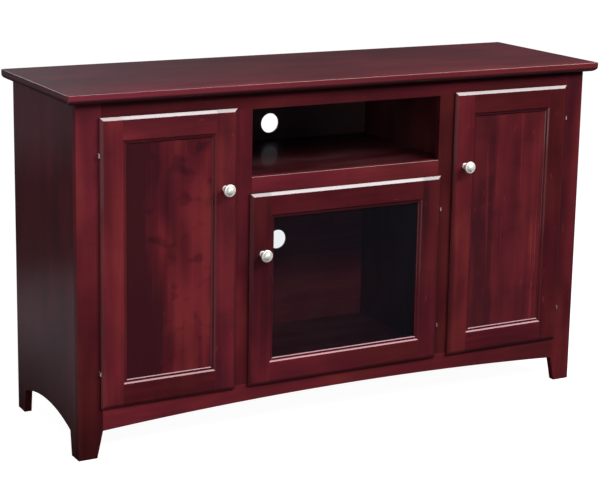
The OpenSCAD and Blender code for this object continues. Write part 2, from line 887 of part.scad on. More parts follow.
module right_door_hinge_stile() { color(wood) at_right_door() hinge_stile(side_door_w, side_door_h, false); }
module right_door_knob_stile() {
    color(wood) at_right_door() knob_stile(side_door_w, side_door_h, false, side_knob_drop);
}
module right_door_top_rail() { color(wood) at_right_door() top_member(side_door_w, side_door_h, false); }
module right_door_bottom_rail() { color(wood) at_right_door() bottom_member(side_door_w, side_door_h, false); }
module right_door_panel() { color(wood) at_right_door() wood_panel(side_door_w, side_door_h); }
module right_door_knob() {
    color(nickel) at_right_door() at_knob(side_door_w, side_door_h, side_knob_drop) knob_body();
}
module right_door_knob_screw() {
    color(steel) at_right_door() at_knob(side_door_w, side_door_h, side_knob_drop) knob_screw_body();
}
module right_door_hinge_leaves() { color(nickel) at_right_door() door_leaves_of(side_door_h); }
module right_door_screws() { color(steel) at_right_door() door_screws(side_door_w, side_door_h); }
module right_door_strike() { color(steel) at_right_door() translate([side_door_w, 0, 0]) strike(); }
module right_door_bumpers() { color("gainsboro") at_right_door() bumpers(side_door_w, side_door_h); }

// Pieces of the glass door

module glass_door_hinge_stile() { color(wood) at_glass_door() hinge_stile(glass_door_w, glass_door_h, true); }
module glass_door_knob_stile() {
    color(wood) at_glass_door() knob_stile(glass_door_w, glass_door_h, true, glass_knob_drop);
}
module glass_door_top_rail() { color(wood) at_glass_door() top_member(glass_door_w, glass_door_h, true); }
module glass_door_bottom_rail() { color(wood) at_glass_door() bottom_member(glass_door_w, glass_door_h, true); }
module glass_door_pane() { color([0.45, 0.5, 0.55, 0.4]) at_glass_door() glass_pane(glass_door_w, glass_door_h); }
module glass_door_stops() { color(wood_inside) at_glass_door() glass_stops(glass_door_w, glass_door_h); }
module glass_door_knob() {
    color(nickel) at_glass_door() at_knob(glass_door_w, glass_door_h, glass_knob_drop) knob_body();
}
module glass_door_knob_screw() {
    color(steel) at_glass_door() at_knob(glass_door_w, glass_door_h, glass_knob_drop) knob_screw_body();
}
module glass_door_hinge_leaves() { color(nickel) at_glass_door() door_leaves_of(glass_door_h); }
module glass_door_screws() { color(steel) at_glass_door() door_screws(glass_door_w, glass_door_h); }
module glass_door_strike() { color(steel) at_glass_door() translate([glass_door_w, 0, 0]) strike(); }
module glass_door_bumpers() { color("gainsboro") at_glass_door() bumpers(glass_door_w, glass_door_h); }

top_panel();
left_side();
right_side();
left_stile();
right_stile();
left_mid_stile();
right_mid_stile();
top_rail();
mid_rail();
bottom_rail();
bottom_deck();
left_partition();
right_partition();
centre_shelf();
back_panel();
top_cleats();
corner_blocks();
left_shelf();
right_shelf();
shelf_pins();
case_screws();
catch_bodies();
catch_magnets();
hinge_frame_leaves();
hinge_pins();
frame_leaf_screws();
left_door_hinge_stile();
left_door_knob_stile();
left_door_top_rail();
left_door_bottom_rail();
left_door_panel();
left_door_knob();
left_door_knob_screw();
left_door_hinge_leaves();
left_door_screws();
left_door_strike();
left_door_bumpers();
right_door_hinge_stile();
right_door_knob_stile();
right_door_top_rail();
right_door_bottom_rail();
right_door_panel();
right_door_knob();
right_door_knob_screw();
right_door_hinge_leaves();
right_door_screws();
right_door_strike();
right_door_bumpers();
glass_door_hinge_stile();
glass_door_knob_stile();
glass_door_top_rail();
glass_door_bottom_rail();
glass_door_pane();
glass_door_stops();
glass_door_knob();
glass_door_knob_screw();
glass_door_hinge_leaves();
glass_door_screws();
glass_door_strike();
glass_door_bumpers();
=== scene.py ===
"""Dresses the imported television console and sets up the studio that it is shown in.

Every length is in metres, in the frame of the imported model: X to the right, Y to the back, Z up.
"""

import json
import math

import bmesh
import bpy
from mathutils import Euler, Matrix, Quaternion, Vector
from mathutils.bvhtree import BVHTree

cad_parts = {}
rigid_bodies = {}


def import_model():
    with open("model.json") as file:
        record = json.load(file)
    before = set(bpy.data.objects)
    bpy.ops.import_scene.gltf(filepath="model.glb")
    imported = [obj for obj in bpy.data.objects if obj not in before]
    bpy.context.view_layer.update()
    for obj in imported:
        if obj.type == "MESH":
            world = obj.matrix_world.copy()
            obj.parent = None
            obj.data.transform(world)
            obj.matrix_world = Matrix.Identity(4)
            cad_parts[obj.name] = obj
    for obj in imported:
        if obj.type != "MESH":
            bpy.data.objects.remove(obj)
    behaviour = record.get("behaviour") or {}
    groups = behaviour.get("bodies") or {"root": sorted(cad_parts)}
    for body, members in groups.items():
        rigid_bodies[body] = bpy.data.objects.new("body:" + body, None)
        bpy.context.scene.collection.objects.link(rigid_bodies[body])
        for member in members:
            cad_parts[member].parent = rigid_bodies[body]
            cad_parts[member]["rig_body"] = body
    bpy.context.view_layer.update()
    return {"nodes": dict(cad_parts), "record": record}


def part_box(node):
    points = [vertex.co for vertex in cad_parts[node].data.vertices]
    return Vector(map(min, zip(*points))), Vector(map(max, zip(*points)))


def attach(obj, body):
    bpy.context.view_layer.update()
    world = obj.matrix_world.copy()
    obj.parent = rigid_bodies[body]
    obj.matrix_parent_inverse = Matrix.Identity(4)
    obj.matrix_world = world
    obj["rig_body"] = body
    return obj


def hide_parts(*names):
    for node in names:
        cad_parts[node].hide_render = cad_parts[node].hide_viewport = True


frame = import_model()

bl_info = {
    "name": "Television Console",
    "version": (1, 0, 0),
    "blender": (4, 5, 0),
    "location": "View3D > Sidebar > Console",
    "description": "Stained wooden television console with panel doors, a glass door and a media bay",
    "category": "Object",
}

SLOT_OF = {row["node"]: row["material_slot"] for row in frame["record"]["subparts"]}
DOORS = ("left_door", "right_door", "glass_door")


# Settings


def length(name, description, default):
    return bpy.props.FloatProperty(
        name=name, description=description, default=default, min=0.0, unit="LENGTH", precision=5
    )


def share(name, description, default, highest=1.0):
    return bpy.props.FloatProperty(
        name=name, description=description, default=default, min=0.0, max=highest, subtype="FACTOR"
    )


def power(name, description, default):
    return bpy.props.FloatProperty(
        name=name, description=description, default=default, min=0.0, unit="POWER"
    )


def colour(name, description, default):
    return bpy.props.FloatVectorProperty(
        name=name, description=description, default=default, size=3, min=0.0, max=1.0, subtype="COLOR"
    )


class ConsoleSizes(bpy.types.PropertyGroup):
    """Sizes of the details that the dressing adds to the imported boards."""

    board_arris: length("Board arris", "Rounding of a board's exposed edges", 0.0008)
    top_arris: length("Top arris", "Chamfer along the edges of the top", 0.0013)
    metal_arris: length("Metal arris", "Rounding of the edges of hinges and plates", 0.00015)
    knob_steps: bpy.props.IntProperty(
        name="Knob steps", description="Faces round a knob", default=96, min=24, max=160
    )
    screw_cross: length("Screw cross", "Width of the cross recess in a screw's head", 0.0008)


class ConsoleColours(bpy.types.PropertyGroup):
    """Colours of the stain, the metals, the plastics and the studio."""

    # Also the colour of painted shade: under the top, in mouldings and on bevels facing away from the
    # fill light
    deep_stain_and_painted_shade: colour("Deep stain", "Stain where the wood drinks most", (0.042, 0.0068, 0.0104))
    stain: colour("Stain", "Usual colour of the stained wood", (0.098, 0.0116, 0.0156))
    # Also the colour of painted light on bevels that face the fill light
    light_stain_and_painted_light: colour("Light stain", "Stain on the hardest wood", (0.170, 0.0220, 0.0240))
    worn_edge: colour("Worn edge", "Stain rubbed thin along the edges", (0.230, 0.040, 0.036))
    # Also painted light on the front face of the top's edge
    wine: colour("Wine", "Stain along the front edge of the top", (0.230, 0.033, 0.056))
    nickel: colour("Nickel", "Satin nickel of the knobs", (0.93, 0.93, 0.85))
    hinge: colour("Hinge", "Duller plating of the hinges", (0.60, 0.48, 0.45))
    zinc: colour("Zinc", "Plated screws and strikes", (0.58, 0.58, 0.56))
    catch: colour("Catch", "Plastic bodies of the catches", (0.030, 0.014, 0.010))
    bumper: colour("Bumper", "Rubber bumpers behind the doors", (0.62, 0.62, 0.60))
    # Painted reflection haze: a greyish tint over the boards inside that stands in for sheen
    painted_haze_colour: colour("Dust", "Greyish bloom on the boards inside", (0.100, 0.080, 0.086))
    glint: colour("Glint", "Colour of the strip that bevels mirror", (1.0, 0.62, 0.68))
    floor: colour("Floor", "Pale studio floor", (0.30, 0.30, 0.305))
    floor_dim: colour("Dim floor", "What the floor in front throws back", (0.09, 0.09, 0.095))
    floor_bright: colour("Bright floor", "What the floor at the left throws back", (0.76, 0.74, 0.78))


class ConsoleStage(bpy.types.PropertyGroup):
    """Camera and lights."""

    lens: bpy.props.FloatProperty(
        name="Lens", description="Focal length on a 36 mm sensor", default=100.30, unit="CAMERA"
    )
    camera_place: bpy.props.FloatVectorProperty(
        name="Camera place", description="Place of the camera", default=(-2.1008, -3.7906, 1.5087),
        size=3, subtype="TRANSLATION", unit="LENGTH"
    )
    camera_turn: bpy.props.FloatVectorProperty(
        name="Camera turn", description="Heading, pitch and roll of the camera",
        default=(math.radians(28.650), math.radians(-11.850), math.radians(1.010)),
        size=3, subtype="EULER"
    )
    camera_drop: bpy.props.FloatProperty(
        name="Frame drop", description="Downward shift of the frame, in frame widths", default=0.12
    )
    key_light: power("Key light", "Power of the large light at the front right", 118.0)
    fill_light: power("Fill light", "Power of the light at the front left", 46.0)
    strip_light: power("Strip light", "Power of the overhead strip that bevels mirror", 18.0)
    knob_strip: power("Knob strip", "Power of the tall strip that the knobs mirror", 8.0)
    edge_light: power("Edge light", "Power of the narrow strip that eased edges mirror", 14.0)
    rim_light: power("Rim light", "Power of the small light behind the left end", 2.6)
    left_card: power("Left card", "Power of the bright card at the left", 9.0)
    sky: share("Room light", "Brightness of the room overhead", 0.20, 4.0)
    horizon: share("Horizon light", "Brightness of the room near the floor", 0.07, 4.0)
    back_left: share("Back left light", "Extra brightness behind and to the left", 0.16, 4.0)


# Shader building


class Level:
    """A number that varies over a surface. Sums and products of it add their Math nodes."""

    def __init__(self, shading, socket):
        self.shading = shading
        self.socket = socket

    def maths(self, operation, first, second=0.0):
        node = self.shading.node("ShaderNodeMath", {"operation": operation}, {0: first, 1: second})
        return Level(self.shading, node.outputs[0])

    def greater(self, other):
        """The greater of two numbers."""
        return self.maths("MAXIMUM", self, other)

    def __add__(self, other):
        return self.maths("ADD", self, other)

    __radd__ = __add__

    def __sub__(self, other):
        return self.maths("SUBTRACT", self, other)

    def __rsub__(self, other):
        return self.maths("SUBTRACT", other, self)

    def __mul__(self, other):
        return self.maths("MULTIPLY", self, other)

    __rmul__ = __mul__

    def __pow__(self, other):
        return self.maths("POWER", self, other)

    def sine(self):
        return self.maths("SINE", self)

    def between(self, low, high, start=0.0, end=1.0):
        """The start value up to low, the end value from high, and a smooth change in between."""
        node = self.shading.node(
            "ShaderNodeMapRange",
            {"interpolation_type": "SMOOTHSTEP"},
            {"Value": self, "From Min": low, "From Max": high, "To Min": start, "To Max": end},
        )
        return Level(self.shading, node.outputs["Result"])


class Shading:
    """The nodes of a material or of the room, while they are being built."""

    def __init__(self, owner):
        self.owner = owner
        owner.use_nodes = True
        self.tree = owner.node_tree
        self.tree.nodes.clear()

    def node(self, kind, settings=None, sockets=None):
        """Adds a node. Its settings come first, and then the values or links of its sockets."""
        made = self.tree.nodes.new(kind)
        for field, value in (settings or {}).items():
            if field == "stops":
                self.set_stops(made.color_ramp, value)
            else:
                setattr(made, field, value)
        for key, value in (sockets or {}).items():
            socket = made.inputs[key]
            if isinstance(value, Level):
                self.tree.links.new(value.socket, socket)
            elif isinstance(value, bpy.types.NodeSocket):
                self.tree.links.new(value, socket)
            else:
                socket.default_value = value
        return made

    def set_stops(self, ramp, stops):
        while len(ramp.elements) < len(stops):
            ramp.elements.new(1.0)
        for element, (place, tint) in zip(ramp.elements, stops):
            element.position = place
            element.color = tint

    def place(self, centre=(0.0, 0.0, 0.0), turn=(0.0, 0.0, 0.0)):
        """Object coordinates, centred on a piece and turned so that its length is local Z."""
        coordinates = self.node("ShaderNodeTexCoord")
        mapping = self.node(
            "ShaderNodeMapping",
            {"vector_type": "TEXTURE"},
            {"Vector": coordinates.outputs["Object"], "Location": centre, "Rotation": turn},
        )
        return mapping.outputs["Vector"]

    def noise(self, vector, scale, detail=2.0, roughness=0.5, warp=0.0):
        stretched = self.node("ShaderNodeVectorMath", {"operation": "MULTIPLY"}, {0: vector, 1: scale})
        node = self.node(
            "ShaderNodeTexNoise",
            {"noise_dimensions": "3D"},
            {
                "Vector": stretched.outputs["Vector"],
                "Scale": 1.0,
                "Detail": detail,
                "Roughness": roughness,
                "Distortion": warp,
            },
        )
        return Level(self, node.outputs[0])

    def axes(self, vector):
        node = self.node("ShaderNodeSeparateXYZ", None, {"Vector": vector})
        return [Level(self, socket) for socket in node.outputs]

    def normal_axes(self):
        return self.axes(self.node("ShaderNodeNewGeometry").outputs["Normal"])

    def edge(self, radius, softness):
        """1 along the outer edges of a piece and 0 on its flats."""
        rounded = self.node("ShaderNodeBevel", {"samples": 4}, {"Radius": radius})
        plain = self.node("ShaderNodeNewGeometry")
        match = self.node(
            "ShaderNodeVectorMath",
            {"operation": "DOT_PRODUCT"},
            {0: rounded.outputs["Normal"], 1: plain.outputs["Normal"]},
        )
        return (1.0 - Level(self, match.outputs["Value"])).between(0.0, softness)

    def ramp(self, level, stops):
        return self.node("ShaderNodeValToRGB", {"stops": stops}, {"Fac": level}).outputs["Color"]

    def blend(self, amount, first, second, kind="MIX"):
        node = self.node(
            "ShaderNodeMix",
            {"data_type": "RGBA", "blend_type": kind},
            {0: amount, 6: first, 7: second},
        )
        return node.outputs[2]

    def grey(self, level):
        node = self.node("ShaderNodeCombineColor", None, {0: level, 1: level, 2: level})
        return node.outputs["Color"]

    def bump(self, height, strength, distance):
        node = self.node(
            "ShaderNodeBump", None, {"Height": height, "Strength": strength, "Distance": distance}
        )
        return node.outputs["Normal"]

    def surface(self, sockets):
        return self.node("ShaderNodeBsdfPrincipled", None, sockets).outputs["BSDF"]

    def mixed(self, amount, first, second):
        node = self.node("ShaderNodeMixShader", None, {0: amount, 1: first, 2: second})
        return node.outputs["Shader"]

    def bright_to_camera(self, plain, bright):
        """One shader that the eye sees as the bright one, while the plain one lights the console."""
        rays = self.node("ShaderNodeLightPath")
        return self.mixed(rays.outputs["Is Camera Ray"], plain, bright)

    def finished(self, shader):
        """The material or the room, with this shader as its output."""
        kind = "World" if isinstance(self.owner, bpy.types.World) else "Material"
        self.node(f"ShaderNodeOutput{kind}", None, {"Surface": shader})
        return self.owner


class Finish(Shading):
    """A new material."""

    def __init__(self, name):
        super().__init__(bpy.data.materials.new(name))

    def closed(self, sockets):
        """The material, with one shader that has these sockets."""
        return self.finished(self.surface(sockets))


def paint(values, strength=1.0):
    """A colour for a socket: the given one, made darker or brighter."""
    return (*(min(1.0, c * strength) for c in values), 1.0)


WHITE = (1.0, 1.0, 1.0, 1.0)
# Turn that lays local Z along an axis of the model
TURN_OF = {
    "x": (0.0, math.radians(90), 0.0),
    "y": (math.radians(-90), 0.0, 0.0),
    "z": (0.0, 0.0, 0.0),
}


# Stained wood


# Wooden nodes by the direction of their grain
GRAIN_ALONG_X = [
    "top_panel", "top_rail", "mid_rail", "bottom_rail", "bottom_deck", "centre_shelf", "back_panel",
    "top_cleats", "left_shelf", "right_shelf",
]
GRAIN_ALONG_Z = [
    "left_side", "right_side", "left_stile", "right_stile", "left_mid_stile", "right_mid_stile",
    "left_partition", "right_partition", "corner_blocks", "left_door_panel", "right_door_panel",
    "glass_door_stops",
]
for door in DOORS:
    GRAIN_ALONG_X += [f"{door}_top_rail", f"{door}_bottom_rail"]
    GRAIN_ALONG_Z += [f"{door}_hinge_stile", f"{door}_knob_stile"]
WOOD_ORDER = sorted(GRAIN_ALONG_X + GRAIN_ALONG_Z)

# Look of the wood by slot: share of the usual brightness, coat on upright faces, roughness under
# the coat, and strength of the figure
LOOKS = {
    "top_wood": (0.90, 0.50, 0.34, 0.70),
    "side_wood": (1.00, 0.36, 0.36, 0.70),
    "frame_wood": (0.84, 0.08, 0.38, 1.00),
    "rail_wood": (0.90, 0.08, 0.38, 0.70),
    "inside_wood": (0.66, 0.16, 0.45, 0.70),
    "shelf_wood": (0.46, 0.26, 0.32, 0.70),
    "back_wood": (2.70, 0.20, 0.50, 0.80),
    "door_stile_wood": (1.00, 0.08, 0.36, 1.05),
    "door_rail_wood": (0.92, 0.08, 0.36, 0.75),
    "panel_wood": (0.90, 0.08, 0.36, 1.40),
}
# Brightness of single boards: at the lower or left end of the board, and
# at its upper or right end
TONE_OF = {
    "left_stile": (0.56, 1.68), "right_stile": (0.88, 0.92), "left_mid_stile": (0.92, 1.02),
    "right_mid_stile": (0.60, 0.54), "top_rail": (0.68, 0.72), "bottom_rail": (1.70, 1.06),
    "mid_rail": (1.40, 1.12),
    "left_door_hinge_stile": (1.14, 1.08), "left_door_knob_stile": (1.45, 1.15),
    "left_door_top_rail": (1.38, 1.14), "left_door_bottom_rail": (0.70, 0.90),
    "right_door_hinge_stile": (0.64, 0.48), "right_door_knob_stile": (0.92, 0.82),
    "right_door_top_rail": (0.62, 0.46), "right_door_bottom_rail": (0.82, 0.86),
    "glass_door_hinge_stile": (0.95, 0.80), "glass_door_knob_stile": (1.12, 0.62),
    "glass_door_top_rail": (0.68, 0.60), "glass_door_bottom_rail": (1.36, 0.88),
    "top_panel": (1.00, 1.05), "left_side": (0.52, 0.88), "bottom_deck": (1.80, 1.80),
    "left_door_panel": (1.06, 0.98), "right_door_panel": (1.28, 0.98),
}
# Boards with a calmer or livelier figure than others of their slot
CALM_OF = {"right_door_panel": 0.55, "left_door_panel": 1.15, "top_panel": 0.9}
# Boards with dark clouds where the wood drank the stain
BLOTCH_OF = {"left_door_panel": 0.17, "right_door_panel": 0.08, "left_door_bottom_rail": 0.12}
# Boards with light lines along the grain
LINE_OF = {"right_door_panel": 0.40}
# Panels that are darker on their left: how far from the middle of the panel the darker part ends
DARKER_LEFT_OF = {"left_door_panel": -0.052, "right_door_panel": -0.046}
# How much greyish painted reflection haze lies on the boards inside
HAZE_OF = {"inside_wood": 0.12, "shelf_wood": 0.10, "back_wood": 0.10}
# Stiles with painted shadow near the top, where the top overhangs them
SHADED_STILES = ("left_stile", "right_stile")
# Stiles whose outer bevel faces away from the fill light and gets painted shade
SHADED_BEVELS = ("left_door_knob_stile", "glass_door_hinge_stile")
# Refractive index of the lacquer, which is higher on rails that were rubbed out to a higher gloss
LACQUER = 1.62
LACQUER_OF = {"left_door_top_rail": 1.75, "glass_door_top_rail": 1.75}
# Boards with a plain chamfer in place of rounded edges
CHAMFERED = ("mid_rail", "top_panel")
# Steps through one large tree, so that no two boards show the same figure
TREE_STEP = Vector((0.37, 0.61, 1.30))
RING_WIDTH = 0.021
# Share of the deep stain's brightness in painted shade under the top
PAINTED_SHADE = 0.25


class StainedBoard(Finish):
    """Maple under a dark red stain and lacquer, with the grain along one axis of the model."""

    def __init__(self, board):
        super().__init__(f"{board}_finish")
        self.board = board
        self.slot = SLOT_OF[board]
        self.number = WOOD_ORDER.index(board)
        self.colours = bpy.context.scene.console_colours
        self.tone, self.coat, self.rough, self.figure = LOOKS[self.slot]
        self.low, self.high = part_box(board)
        self.under_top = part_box("top_panel")[0].z
        middle = (self.low + self.high) / 2
        upright = board in GRAIN_ALONG_Z
        turn = TURN_OF["z" if upright else "x"]

        self.here = self.place(middle + TREE_STEP * self.number, turn)
        self.cloud = self.noise(self.here, (13.0, 13.0, 5.5), 1.5, 0.45, 0.2).between(0.28, 0.72)
        self.streak = self.noise(self.here, (48.0, 48.0, 1.5), 2.0, 0.5).between(0.25, 0.75)
        self.fine = self.noise(self.here, (620.0, 620.0, 14.0), 3.0, 0.6)

        # Places on the board, measured from its middle, its front face and the floor
        self.across, deep, self.along = self.axes(self.place(middle, turn))
        self.behind = deep + (self.high.y - self.low.y) / 2
        self.height = self.along + middle.z if upright else middle.z - self.across
        self.right, back, self.up = self.normal_axes()
        self.outward = back * -1.0
        self.dulled = 0.0
        self.wood = self.stained(self.shade())

    def lay(self, amount, tint, strength=1.0):
        """Lays a colour over the wood."""
        self.wood = self.blend(amount, self.wood, paint(tint, strength))

    def rings(self):
        """Growth rings round a pith that lies off the board."""
        sway = self.noise(self.here, (5.0, 5.0, 1.7), 2.0)
        across, deep, _ = self.axes(self.here)
        side = across + (sway - 0.5) * 0.16
        down = deep + (0.085 + 0.03 * math.sin(self.number * 2.1))
        ring = (side * side + down * down) ** 0.5
        return (ring * (2 * math.pi / RING_WIDTH) + sway * 9.0).sine().between(-0.6, 1.0)

    def shade(self):
        """How light the stain is: clouds, streaks and rings, with blotches, lines and, on some panels,
        a darker left part.
        """
        drift = self.noise(self.here, (7.0, 7.0, 0.9), 1.0, 0.5).between(0.25, 0.75)
        shade = self.cloud * 0.36 + drift * 0.30 + self.streak * 0.19
        shade = shade + self.rings() * 0.06 + self.fine * 0.08 + 0.005
        blotch = self.noise(self.here, (16.0, 16.0, 27.0), 1.5, 0.5, 0.3).between(0.54, 0.68)
        line = self.noise(self.here, (170.0, 170.0, 2.2), 1.0, 0.5).between(0.66, 0.72)
        shade = shade - 0.5 - blotch * BLOTCH_OF.get(self.board, 0.05)
        shade = shade + line * LINE_OF.get(self.board, 0.10)
        shade = shade * (self.figure * CALM_OF.get(self.board, 1.0)) + 0.51
        if self.board in DARKER_LEFT_OF:
            darker_until = DARKER_LEFT_OF[self.board]
            darker_left = 1.0 - self.across.between(darker_until - 0.016, darker_until + 0.014)
            shade = shade - darker_left * 0.30
        return shade

    def stained(self, shade):
        """Stain that follows the shade, under a slow change of hue."""
        stops = [
            (0.10, paint(self.colours.deep_stain_and_painted_shade, self.tone)),
            (0.50, paint(self.colours.stain, self.tone)),
            (0.92, paint(self.colours.light_stain_and_painted_light, self.tone)),
        ]
        hue = self.noise(self.here, (11.0, 11.0, 3.0), 2.0, 0.5, 0.4).between(0.36, 0.64)
        cast = self.blend(hue, (0.99, 0.88, 1.04, 1.0), (1.01, 1.10, 0.97, 1.0))
        amount = min(1.0, CALM_OF.get(self.board, 1.0))
        return self.blend(amount, self.ramp(shade, stops), cast, "MULTIPLY")

    def paint_top_wear_light_and_shade(self):
        """Lighter colour near the front of the top, and wine-coloured wear near its left end. Painted
        light on the front face of its edge, most towards the left, and painted shade on the lower part
        of its edge.
        """
        flat = self.up.between(0.90, 0.99)
        near = (1.0 - self.behind.between(0.0, 0.085)) * flat
        self.lay(near * (self.cloud * 0.6 + 0.25), self.colours.light_stain_and_painted_light)
        left_end = self.along.between(-0.72, -0.60) * (1.0 - self.along.between(-0.45, -0.05))
        left_end = left_end * flat
        band = left_end * (1.0 - self.behind.between(0.05, 0.13))
        self.lay(band * (self.streak * 0.6 + 0.1), self.colours.wine)
        self.dulled = left_end * 0.09 + band * 0.17
        # Painted light: the front face of the top's edge is made lighter, most towards the left end
        rubbed = self.outward.between(0.60, 0.90) * (1.0 - self.along.between(-0.75, 0.50))
        self.lay(rubbed * 0.5, self.colours.wine)
        # Painted shade on the lower part of the top's edge
        shaded_underside = 1.0 - self.height.between(self.under_top + 0.0090, self.under_top + 0.0145)
        self.lay(shaded_underside * 0.8, self.colours.deep_stain_and_painted_shade, PAINTED_SHADE)

    def add_painted_haze(self):
        """Painted reflection haze: a greyish tint on the boards inside that stands in for sheen,
        strongest on the back of the media bay.
        """
        painted_haze = self.cloud * 0.2 + HAZE_OF[self.slot] - 0.10
        if self.slot == "back_wood":
            # More painted haze on the back of the media bay, above the centre shelf
            shelf_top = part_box("centre_shelf")[1].z
            bay = self.height.between(shelf_top - 0.05, shelf_top) * self.outward.between(0.5, 0.9)
            painted_haze = painted_haze + bay * 0.80
        self.lay(painted_haze, self.colours.painted_haze_colour)

    def grade(self):
        """The board's brightness, changing from one end to the other."""
        low_end, high_end = TONE_OF[self.board]
        reach = max(self.high - self.low) / 2
        tone = self.along.between(-reach, reach, low_end, high_end)
        self.wood = self.blend(1.0, self.wood, self.grey(tone), "MULTIPLY")

    def paint_shadow_under_top(self, first, last, amount, strength=1.0):
        """Painted shadow under the top: deep stain colour over a band that starts so far under the top
        and is full nearer to it.
        """
        band = self.height.between(self.under_top - first, self.under_top - last)
        self.lay(band * amount, self.colours.deep_stain_and_painted_shade, strength)

    def paint_moulding_shade_and_light(self):
        """Painted shadow in the hollow of a moulding, and painted light on bevels that face the fill
        light.
        """
        depth = 0.85 if self.board.endswith("top_rail") else 0.55
        # Painted shadow of the moulding in its hollow, darkest under a top rail
        hollow = self.behind.between(0.0026, 0.0033) * depth
        self.lay(hollow, self.colours.deep_stain_and_painted_shade, self.tone * 0.8)
        # Painted light on bevels that face left, towards the fill light
        self.lay((self.right * -1.0).between(0.52, 0.66) * 0.5, self.colours.light_stain_and_painted_light)

    def rub(self):
        """Light flecks, and stain rubbed thin along the edges."""
        fleck = self.noise(self.here, (150.0, 150.0, 34.0), 1.0, 0.4).between(0.735, 0.80)
        patch = self.noise(self.here, (60.0, 60.0, 25.0), 3.0).between(0.42, 0.62)
        worn = self.edge(0.0016, 0.25) * patch
        self.lay(fleck * 0.35, self.colours.worn_edge, self.tone)
        self.lay(worn * 0.55, self.colours.worn_edge, self.tone)

    def lacquered(self):
        """The finished material. Its coat is fullest on edges and bevels, which mirror the strips."""
        raised = self.up.between(0.25, 0.60) * (1.0 - self.up.between(0.80, 0.97))
        raised = raised * (self.up * 0.95 + 0.28)
        slope = self.outward.between(0.45, 0.60) * (1.0 - self.outward.between(0.74, 0.94))
        polish = raised.greater(slope * 0.30) * (1.0 - self.coat) + self.coat
        peel = self.noise(self.here, (190.0, 190.0, 190.0), 2.0, 0.5)
        relief = self.fine * 0.5 + self.streak * 0.3 + peel * 0.6
        return self.closed(
            {
                "Base Color": self.wood,
                "Roughness": self.fine * 0.10 + self.rough - 0.05,
                "Specular IOR Level": 0.08,
                "Coat Weight": polish - (1.0 - self.cloud) * 0.03 - self.dulled,
                "Coat Roughness": 0.06,
                "Coat IOR": LACQUER_OF.get(self.board, LACQUER),
                "Normal": self.bump(relief, 0.16, 0.00025),
            }
        )


def stained_wood(board):
    """The finish of one board, laid over it coat by coat."""
    finish = StainedBoard(board)
    if board == "top_panel":
        finish.paint_top_wear_light_and_shade()
    if finish.slot in HAZE_OF:
        finish.add_painted_haze()
    if board in TONE_OF:
        finish.grade()
    # Painted shadow of the top's overhang on the frame boards right under it
    if finish.slot in ("frame_wood", "rail_wood") and finish.high.z > finish.under_top - 0.002:
        finish.paint_shadow_under_top(0.014, 0.004, 0.75, PAINTED_SHADE)
    # Painted shadow on the outer stiles near the top
    if board in SHADED_STILES:
        finish.paint_shadow_under_top(0.060, 0.015, 0.5)
    if finish.slot in ("door_stile_wood", "door_rail_wood"):
        finish.paint_moulding_shade_and_light()
    # Painted shade on outer bevels that face away from the fill light
    if board in SHADED_BEVELS:
        finish.lay(finish.right.between(0.30, 0.44) * 0.6, finish.colours.deep_stain_and_painted_shade)
    finish.rub()
    return finish.lacquered()


# Other finishes


def middle_of(node):
    low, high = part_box(node)
    return (low + high) / 2


def satin_metal(name, tint, centre, along, rough, grime, metallic=1.0):
    """Plated metal with fine turning marks, small scratches and duller patches."""
    finish = Finish(name)
    here = finish.place(centre, TURN_OF[along])
    brushed = finish.noise(here, (300.0, 300.0, 5200.0), 2.0, 0.6)
    patch = finish.noise(here, (140.0, 140.0, 140.0), 3.0, 0.55).between(0.35, 0.70)
    scratch = finish.noise(here, (2400.0, 180.0, 900.0), 2.0, 0.5).between(0.62, 0.70)
    worn = finish.edge(0.0006, 0.30)
    body = finish.blend(patch * grime, paint(tint), paint(tint, 0.72))
    body = finish.blend(worn * 0.5, body, paint(tint, 1.22))
    return finish.closed(
        {
            "Base Color": body,
            "Metallic": metallic,
            "Roughness": brushed * 0.10 + patch * 0.06 + scratch * 0.12 + (rough - 0.08),
            "Normal": finish.bump(brushed * 0.6 - scratch * 0.8, 0.10, 0.00008),
        }
    )


def clear_glass():
    """Float glass: nearly clear from the front, a mirror at a low angle, with a faint dusty film.
    The dark bluish base colour of its mirror part is a painted reflection.
    """
    finish = Finish("door_glass")
    here = finish.place(middle_of("glass_door_pane"))
    haze = finish.noise(here, (9.0, 9.0, 3.0), 3.0, 0.55, 1.2).between(0.35, 0.75)
    gleam = finish.node("ShaderNodeFresnel", None, {"IOR": 1.45}).outputs["Fac"]
    amount = Level(finish, gleam) * (haze * 0.35 + 0.80)
    through = finish.node("ShaderNodeBsdfTransparent", None, {"Color": (0.90, 0.92, 0.92, 1.0)})
    # The mirror part's dark bluish base colour is a painted reflection
    mirror = finish.surface(
        {
            "Base Color": (0.095, 0.090, 0.140, 1.0),
            "Specular IOR Level": 1.0,
            "Roughness": haze * 0.03 + 0.03,
        }
    )
    return finish.finished(finish.mixed(amount, through.outputs["BSDF"], mirror))


def faded(tint, strength):
    return paint([c * strength + 0.02 for c in tint])


def moulded_plastic(name, tint, rough, grain_size):
    """Moulded plastic or rubber with a fine pebbled skin and slight scuffs."""
    finish = Finish(name)
    here = finish.place()
    pebble = finish.noise(here, (grain_size,) * 3, 2.0, 0.5)
    scuff = finish.noise(here, (90.0, 260.0, 120.0), 3.0, 0.6).between(0.50, 0.72)
    body = finish.blend(scuff * 0.4, paint(tint), faded(tint, 1.5))
    body = finish.blend(finish.edge(0.0005, 0.3) * 0.4, body, faded(tint, 1.7))
    return finish.closed(
        {
            "Base Color": body,
            "Roughness": pebble * 0.2 + scuff * 0.1 + rough,
            "Normal": finish.bump(pebble, 0.25, 0.0001),
        }
    )


